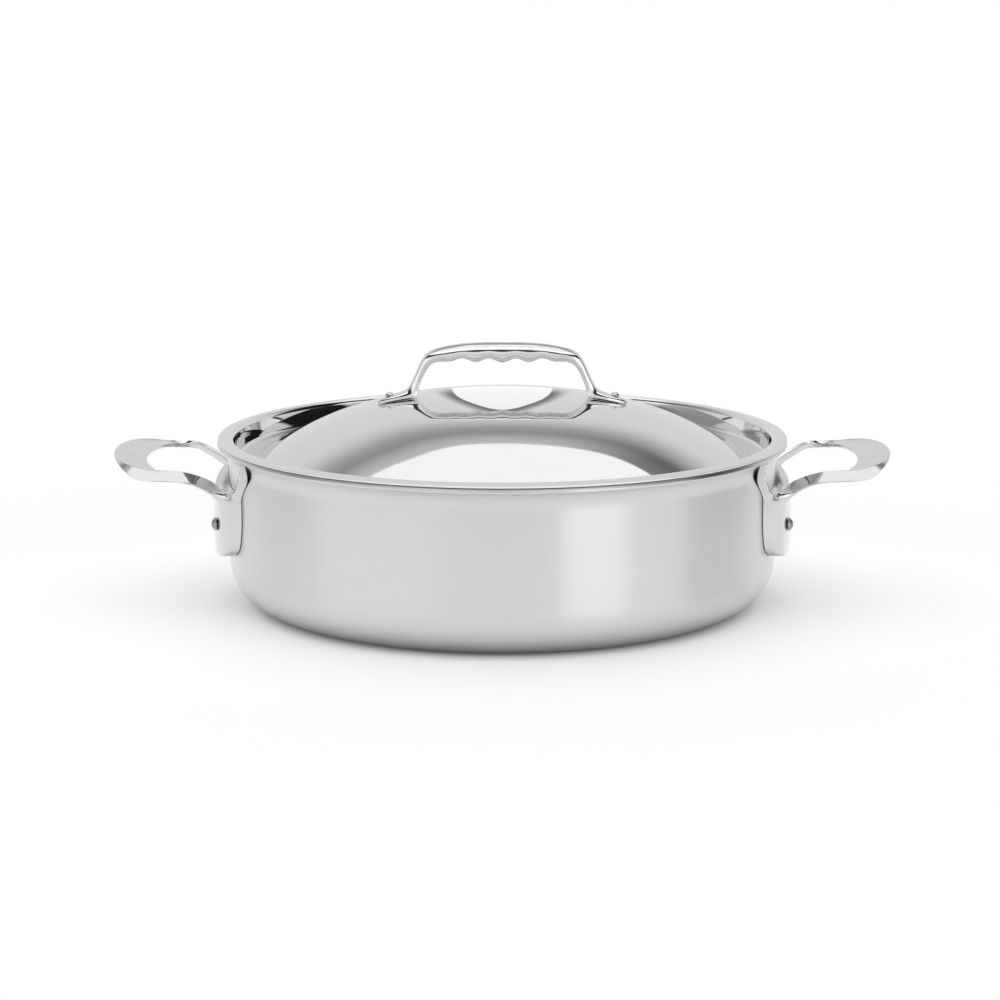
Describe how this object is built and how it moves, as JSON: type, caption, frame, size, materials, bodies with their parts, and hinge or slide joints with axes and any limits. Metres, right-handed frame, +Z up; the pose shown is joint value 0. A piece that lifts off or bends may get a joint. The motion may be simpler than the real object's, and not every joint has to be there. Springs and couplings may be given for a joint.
{
  "type": "deep saute pan",
  "caption": "Deep round steel saute pan with a flared pouring lip, riveted cast loop side handles and a domed drop-in lid with a scalloped bridge handle.",
  "frame": {"origin": "centre of the flat base, on the surface the pan stands on", "axes": "+Z up along the pan's axis, +X through the right side handle, +Y away from the viewer of the picture"},
  "size_m": [0.4038, 0.2964, 0.1354],
  "materials": {
    "wall_steel": "satin bonded steel sheet",
    "lid_steel": "mirror-polished steel sheet",
    "lid_handle_steel": "polished cast steel",
    "side_handle_steel": "polished cast steel",
    "side_rivet_steel": "smooth domed steel",
    "lid_rivet_steel": "smooth domed steel"
  },
  "bodies": {
    "body": {"pan_body": "wall_steel", "side_handle_left": "side_handle_steel", "side_handle_right": "side_handle_steel", "side_rivet_left_near": "side_rivet_steel", "side_rivet_left_far": "side_rivet_steel", "side_rivet_right_near": "side_rivet_steel", "side_rivet_right_far": "side_rivet_steel"},
    "lid": {"lid_shell": "lid_steel", "lid_handle": "lid_handle_steel", "lid_rivet_left": "lid_rivet_steel", "lid_rivet_right": "lid_rivet_steel"}
  },
  "joints": [
    {"name": "lid_lift", "type": "slide", "parent": "body", "child": "lid", "axis": [0, 0, 1], "range_m": [0, 0.15]}
  ]
}
